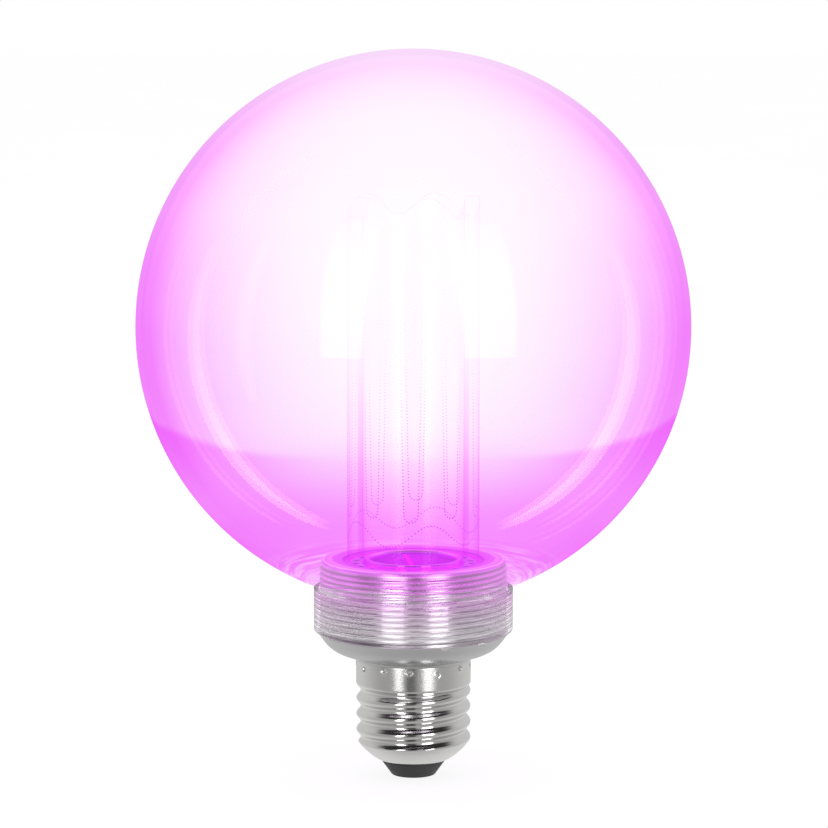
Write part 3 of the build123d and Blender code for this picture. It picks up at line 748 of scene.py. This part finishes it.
# ---------------------------------------------------------------------------
# Centre reflector: flat glossy face inside a rounded rim
# ---------------------------------------------------------------------------
def make_reflector():
    rows = [(9.3, 49.0), (11.4, 49.0), (11.4, 50.15)]
    rows += arc(11.05, 50.2, 0.35, 0, 90, 6) + arc(10.55, 50.2, 0.35, 90, 170, 6)
    rows += [(10.1, 50.1), (9.8, 50.03), (9.5, 50.0), (9.3, 49.99)]
    rim = lathe("glossy_reflector", rows, 160, closed=True, sharp=35)
    face = lathe("reflector_face", [(0.0, 49.5), (9.28, 49.5), (9.28, 49.99), (0.0, 49.99)], 160, sharp=35)
    return rim, face


reflector, dish_face = make_reflector()
paint(reflector, "dish")
paint(dish_face, "dish")

# ---------------------------------------------------------------------------
# Base cup: bowl under the neck, fine thread inside it
# ---------------------------------------------------------------------------
BOWL = [(13.45, SHELL_TOP), (13.75, 28.0), (14.6, 28.4), (15.9, 28.75), (17.2, 29.2), (18.4, 29.8),
        (19.4, 30.55), (20.3, 31.5), (21.1, 32.6), (CUP_LEDGE_R, NECK_BOTTOM - 0.12)]


def make_cup():
    rows = [(12.4, 22.4), (12.7, 22.8), (12.7, SHELL_TOP), (13.3, SHELL_TOP)]
    rows += smooth_curve(BOWL, 5)
    rows += [(CUP_LEDGE_R - 0.06, NECK_BOTTOM - 0.03), (CUP_LEDGE_R - 0.2, NECK_BOTTOM), (21.3, NECK_BOTTOM), (20.95, NECK_BOTTOM + 0.05)]
    i0 = len(rows)
    z0, z1 = NECK_BOTTOM + 0.2, CUP_TOP - 0.4
    rows += line((20.95, z0), (20.95, z1), 164)
    i1 = len(rows)
    rows += [(20.95, z1), (20.95, CUP_TOP - 0.3), (20.9, CUP_TOP - 0.1), (20.85, CUP_TOP), (20.1, CUP_TOP),
             (20.0, CUP_TOP - 0.1), (20.0, 46.0), (19.4, 46.0), (19.4, 35.3), (18.4, 32.5), (15.2, 30.25),
             (11.2, 28.7), (11.2, 22.4)]

    def shape(i, r, z, th):
        if i0 <= i < i1:
            fade = np.clip((z - z0) / 0.8, 0, 1) * np.clip((z1 - z) / 0.8, 0, 1)
            turn = (z - 40.0) / FINE_PITCH - th / (2 * math.pi)
            r = r + (0.28 + 0.16 * np.clip((z - 43.0) / 3.0, 0, 1)) * fade * soft_ridge(turn)
        return r, z

    return lathe("silver_base", rows, 224, closed=True, shape=shape, sharp=45)


cup = make_cup()
paint(cup, "housing")

# ---------------------------------------------------------------------------
# Screw shell: rolled thread, skirt with punch marks, curved foot
# ---------------------------------------------------------------------------
FOOT = [(12.75, 8.35), (12.1, 7.45), (11.4, 6.7), (10.6, 5.95), (9.7, 5.2), (8.7, 4.5), (7.62, 3.98)]


def make_shell():
    foot = smooth_curve(FOOT, 4)
    rows, kind = [(7.27, 4.1), (7.3, 3.97), (7.45, 3.95)], ["f"] * 3
    for r, z in reversed(foot):
        rows.append((r, z)); kind.append("foot")
    z = 8.5
    while z < 22.3:
        rows.append((13.0, z)); kind.append("o"); z += 0.19
    for z in (22.6, 23.2, 24.0, 24.6, 25.1, 25.4, 25.6, 25.75, 25.9, 26.05, 26.2, 26.35, 26.5, 26.65, 26.8, 26.95, 27.1, 27.3):
        rows.append((SKIRT_R, z)); kind.append("s")
    rows += [(SKIRT_R - 0.03, 27.44), (SKIRT_R - 0.1, SHELL_TOP), (SKIRT_R - 0.22, SHELL_TOP), (SKIRT_R - 0.3, 27.4),
             (12.8, 22.5), (11.7, 21.5), (11.7, 9.0), (11.5, 7.5), (9.7, 5.65), (7.35, 4.4)]
    kind += ["f"] * 10
    dimples = []
    for i in range(13):
        a = -90 - 3.9 + i * 360 / 13 + (0.0, 1.4, 2.0, -1.0, 0.8)[i % 5] * (1 if i < 11 else 0.4)
        dimples.append((math.radians(a), 26.35 + (0.1, -0.45, 0.15, -0.1, 0.2, -0.3)[i % 6]))

    def envelope(z):
        ez = np.array([p[1] for p in foot])[::-1]
        er = np.array([p[0] for p in foot])[::-1]
        return np.where(z > 8.35, 12.75 + (z - 8.35) * 0.72, np.interp(z, ez, er))

    def shape(i, r, z, th):
        if kind[i] in ("o", "foot"):
            phi = 2 * math.pi * (z - CREST_Z) / PITCH
            thread = THREAD_R + THREAD_A * np.cos(th - phi)
            skirt = np.where(z < SKIRT_Z - 1.25, 0.0, np.minimum(SKIRT_R, 12.0 + (z - (SKIRT_Z - 1.25)) * (SKIRT_R - 12.0) / 1.25))
            k = 0.10
            m = np.maximum(thread, skirt)
            s = np.clip(0.5 + 0.5 * (thread - skirt) / k, 0, 1)
            m = m + k * s * (1 - s) * 0.5
            if kind[i] == "o":
                e = envelope(z)
                s = np.clip(0.5 + 0.5 * (m - e) / 0.2, 0, 1)
                r = np.minimum(m, e) - 0.2 * s * (1 - s) * 0.5
            else:
                r = np.minimum(m, r)
        if kind[i] == "s":
            for a, dz in dimples:
                d = ((th - a + math.pi) % (2 * math.pi) - math.pi) * SKIRT_R
                q = np.sqrt(d * d + (z - dz) ** 2)
                pit = np.clip(1 - q / 0.60, 0, 1)
                lip = np.exp(-((q - 0.70) / 0.16) ** 2) * np.where(z < dz, 1.0, 0.35)
                r = r - 0.62 * pit ** 0.55 + 0.07 * lip
        return r, z

    return lathe("screw_shell_rolled", rows, 448, closed=True, shape=shape, sharp=50)


shell = make_shell()
paint(shell, "nickel")


def make_insulator():
    rows = [(1.25, 0.45), (3.3, 0.45), (3.45, 0.40), (4.75, 0.40), (5.0, 0.46), (5.17, 0.62), (5.26, 0.8)]
    rows += line((5.26, 0.8), (7.36, 3.7), 10)
    rows += [(7.4, 3.80), (7.38, 3.90), (7.3, 3.95), (7.15, 3.95), (7.15, 5.0), (8.5, 5.25), (8.5, 6.1), (1.25, 6.1)]
    return lathe("black_cone", rows, 160, closed=True, sharp=40)


cone = make_insulator()
paint(cone, "black")

# ---------------------------------------------------------------------------
# Pieces that keep their own solids
# ---------------------------------------------------------------------------
KEEP = {
    "cover_plate": "plate", "centre_contact": "contact", "led_board": "board_white",
    "leds": "led", "board_screws": "steel", "heat_spreader": "alu", "driver_board": "fr4", "bulk_capacitor": "sleeve",
    "output_capacitor": "sleeve", "film_capacitor": "film", "choke": "copper", "fusible_resistor": "resistor",
    "bridge_rectifier": "epoxy", "driver_chip": "epoxy", "transformer_core": "ferrite", "transformer_winding": "copper",
    "radio_module": "module", "radio_shield": "tin", "pin_header": "epoxy", "live_wire": "red", "neutral_wire": "black_wire",
}
for node, key in KEEP.items():
    ob = NODES[node]
    for s in ob.material_slots:
        s.material = MAT[key]
    if not ob.material_slots:
        ob.data.materials.append(MAT[key])

for ob, node, slot in ((globe, "globe", "clear_globe"), (tube, "light_guide_tube", "clear_guide"),
                       (cup, "base_cup", "silver_housing"), (shell, "screw_shell", "nickel"),
                       (cone, "cap_insulator", "black_insulator"), (reflector, "centre_reflector", "bright_dish")):
    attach(ob, "root")
    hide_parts(node)
for ob, slot in ((neck, "clear_globe"), (lugs, "clear_globe"), (dots, "clear_guide"), (dish_face, "bright_dish")):
    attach(ob, "root")

# ---------------------------------------------------------------------------
# Stage: white floor, studio lights, world
# ---------------------------------------------------------------------------
def make_floor():
    me = bpy.data.meshes.new("floor")
    s = 30.0
    me.from_pydata([(-s, -s, 0), (s, -s, 0), (s, s, 0), (-s, s, 0)], [], [(0, 1, 2, 3)])
    ob = bpy.data.objects.new("floor", me)
    scene.collection.objects.link(ob)
    m = Mat("floor_white")
    vec, p = m.xyz()
    col = m.ramp(m.noise(vec, 3.0, 2.0), [(0.3, (0.19, 0.19, 0.19)), (0.7, (0.21, 0.21, 0.21))])
    b = m.principled(Base_Color=col, Roughness=0.9, Emission_Color=(1, 1, 1, 1), Emission_Strength=0.88)
    b.inputs["Specular IOR Level"].default_value = 0.0
    ob.data.materials.append(m.end(b.outputs[0]))
    ob.visible_glossy = False


make_floor()

CENTRE = Vector((0, 0, 0.09))


def softbox(name, azimuth, elevation, dist, width, height, radiance, shape="RECTANGLE", fade=None):
    """Area light at azimuth degrees right of the camera's side, aimed at the lamp.
    fade is a list of (height share from the foot, strength) along its length."""
    a, e = math.radians(azimuth), math.radians(elevation)
    pos = CENTRE + Vector((math.sin(a) * math.cos(e), -math.cos(a) * math.cos(e), math.sin(e))) * dist
    li = bpy.data.lights.new(name, "AREA")
    li.shape = shape
    li.size, li.size_y = width, height
    li.energy = radiance * math.pi * width * height * (math.pi / 4 if shape == "ELLIPSE" else 1.0)
    if fade:
        li.use_nodes = True
        t = li.node_tree
        em = next(n for n in t.nodes if n.type == "EMISSION")
        geo = t.nodes.new("ShaderNodeNewGeometry")
        sep = t.nodes.new("ShaderNodeSeparateXYZ")
        ramp = t.nodes.new("ShaderNodeValToRGB")
        el = ramp.color_ramp.elements
        el[0].position, el[0].color = fade[0][0], (fade[0][1],) * 3 + (1,)
        el[1].position, el[1].color = fade[-1][0], (fade[-1][1],) * 3 + (1,)
        for q, v in fade[1:-1]:
            e_ = el.new(q)
            e_.color = (v, v, v, 1)
        t.links.new(geo.outputs["Parametric"], sep.inputs[0])
        t.links.new(sep.outputs[1], ramp.inputs[0])
        t.links.new(ramp.outputs["Color"], em.inputs["Strength"])
    ob = bpy.data.objects.new(name, li)
    ob.location = pos
    ob.rotation_euler = (pos - CENTRE).to_track_quat("Z", "Y").to_euler()
    ob.visible_camera = False
    scene.collection.objects.link(ob)
    return ob


def deg(width, dist):
    return 2 * dist * math.tan(math.radians(width / 2))


def linked(light, objects, name):
    """Keep a light to the given objects."""
    if name not in bpy.data.collections:
        col = bpy.data.collections.new(name)
        for ob in objects:
            col.objects.link(ob)
    light.light_linking.receiver_collection = bpy.data.collections[name]


GLASS = [globe]
for ob in (globe, tube, dots):
    ob.visible_glossy = False
OTHERS = [neck, lugs, tube, dots, cup, shell, cone, reflector, dish_face] + [NODES[k] for k in KEEP]
for strip in (softbox("front_left", -29, 12, 1.3, deg(15, 1.3), deg(50, 1.3), 3.0),
              softbox("front_right", 30, 12, 1.3, deg(22, 1.3), deg(50, 1.3), 3.0)):
    linked(strip, OTHERS, "all_but_globe")
# Bright line down the silver cup.
linked(softbox("cup_line", -16, 8, 1.0, deg(12, 1.0), deg(60, 1.0), 2.3), [cup, neck], "cup_and_neck")
# Windows and side strips as the clear globe shows them.
LONG = [(0.0, 0.0), (0.10, 0.9), (0.30, 1.0), (0.50, 0.65), (0.75, 0.32), (1.0, 0.0)]
PANE = [(0.0, 1.0), (0.55, 0.9), (0.85, 0.45), (1.0, 0.15)]
for strip in (softbox("window_left", -28.5, 19.5, 1.3, deg(18, 1.3), deg(52, 1.3), 1.38, fade=PANE),
              softbox("window_right", 30.5, 19.5, 1.3, deg(23, 1.3), deg(52, 1.3), 1.38, fade=PANE),
              softbox("side_left", -98, -20, 1.0, deg(8.6, 1.0), deg(96, 1.0), 4.4, "ELLIPSE", LONG),
              softbox("side_right", 98.5, -20, 1.0, deg(9.6, 1.0), deg(96, 1.0), 4.9, "ELLIPSE", LONG),
              softbox("rear_left", -119, -12, 1.2, deg(3.8, 1.2), deg(90, 1.2), 1.5, "ELLIPSE", LONG),
              softbox("rear_right", 120, -12, 1.2, deg(4.0, 1.2), deg(90, 1.2), 1.9, "ELLIPSE", LONG),
              softbox("far_right", 134, -12, 1.2, deg(3.0, 1.2), deg(90, 1.2), 1.2, "ELLIPSE", LONG),
              softbox("soft_left", -71, 5, 1.0, deg(7.0, 1.0), deg(54, 1.0), 0.7, "ELLIPSE")):
    linked(strip, GLASS, "clear_mouldings")


def streak():
    """Narrow strip behind the lamp, leaning, that only the glossy dish mirrors."""
    target, pos = Vector((0, 0, 0.050)), Vector((-0.0017, 0.30, 0.1008))
    li = bpy.data.lights.new("rear_streak", "AREA")
    li.shape = "RECTANGLE"
    li.size, li.size_y = 0.0005, 0.013
    li.energy = 26.0 * math.pi * li.size * li.size_y
    ob = bpy.data.objects.new("rear_streak", li)
    z = (pos - target).normalized()
    y = Vector((0.517, 0.0, 0.856))
    y = (y - z * y.dot(z)).normalized()
    x = y.cross(z)
    ob.matrix_world = Matrix(((x[0], y[0], z[0], pos[0]), (x[1], y[1], z[1], pos[1]), (x[2], y[2], z[2], pos[2]), (0, 0, 0, 1)))
    ob.visible_camera = False
    scene.collection.objects.link(ob)
    linked(ob, [dish_face], "dish_only")


streak()
top = softbox("overhead", 0, 88, 1.5, 1.4, 1.4, 1.6)
top.visible_glossy = False

def make_world():
    """White for what is seen directly; for reflections, the studio's own grey walls,
    dark ceiling in front and the dark gap between the two front boxes."""
    w = Mat("studio", world=True)
    co = w.n("ShaderNodeTexCoord")
    sep = w.n("ShaderNodeSeparateXYZ")
    w.t.links.new(co.outputs["Generated"], sep.inputs[0])
    x, y, z = sep.outputs
    tone = w.math("MULTIPLY_ADD", w.step(y, -0.6, 0.7), STUDIO_BACK - STUDIO_FRONT, STUDIO_FRONT)
    roof = w.math("MULTIPLY", w.step(z, 0.50, 0.72), w.step(y, 0.35, -0.10))
    tone = w.math("MULTIPLY", tone, w.math("MULTIPLY_ADD", roof, -0.95, 1.0))
    ratio = w.math("DIVIDE", x, w.math("MAXIMUM", w.math("MULTIPLY", y, -1.0), 0.05))
    gap = w.math("MULTIPLY", w.step(ratio, -0.32, -0.24), w.step(ratio, 0.14, 0.04))
    gap = w.math("MULTIPLY", gap, w.math("MULTIPLY", w.step(y, -0.3, -0.5), w.step(z, -0.55, -0.35)))
    tone = w.math("MULTIPLY", tone, w.math("MULTIPLY_ADD", gap, -0.80, 1.0))
    low = w.step(z, -0.05, -0.45)
    tone = w.math("MULTIPLY_ADD", low, STUDIO_LOW, tone)
    lp = w.n("ShaderNodeLightPath")
    pick = w.n("ShaderNodeMix", data_type="FLOAT")
    w.put(pick.inputs["Factor"], w.math("MINIMUM", lp.outputs["Glossy Depth"], 1.0))
    w.put(pick.inputs["A"], 0.55)
    w.put(pick.inputs["B"], tone)
    bounced = w.math("MINIMUM", w.math("ADD", lp.outputs["Glossy Depth"], lp.outputs["Diffuse Depth"]), 1.0)
    seen = w.n("ShaderNodeMix", data_type="FLOAT")
    w.put(seen.inputs["Factor"], bounced)
    w.put(seen.inputs["A"], 1.0)
    w.put(seen.inputs["B"], pick.outputs[0])
    bg = w.n("ShaderNodeBackground")
    bg.inputs["Color"].default_value = (1, 1, 1, 1)
    w.put(bg.inputs["Strength"], seen.outputs[0])
    scene.world = w.end(bg.outputs[0])


STUDIO_FRONT, STUDIO_BACK, STUDIO_LOW = 0.36, 0.64, 0.08
make_world()

# ---------------------------------------------------------------------------
# Camera: level with the top of the globe, looking down about seven degrees
# ---------------------------------------------------------------------------
PITCH_DOWN, DIST, AIM = 6.95, 0.7052, Vector((0.00014, 0, 0.08345))
cam = bpy.data.cameras.new("camera")
cam.sensor_width = 36.0
cam.lens = 36.0 * 3114.5 / 828.0
cam.clip_start, cam.clip_end = 0.01, 200.0
co_ = bpy.data.objects.new("camera", cam)
e = math.radians(PITCH_DOWN)
co_.location = AIM + Vector((0, -DIST * math.cos(e), DIST * math.sin(e)))
co_.rotation_euler = (math.pi / 2 - e, 0, 0)
scene.collection.objects.link(co_)
scene.camera = co_

scene.view_settings.view_transform = "Standard"
scene.view_settings.look = "None"
scene.cycles.use_denoising = True
scene.cycles.denoising_prefilter = "FAST"
scene.cycles.transparent_max_bounces = 40
scene.cycles.max_bounces = 16
scene.cycles.glossy_bounces = 8
scene.cycles.sample_clamp_indirect = 8.0
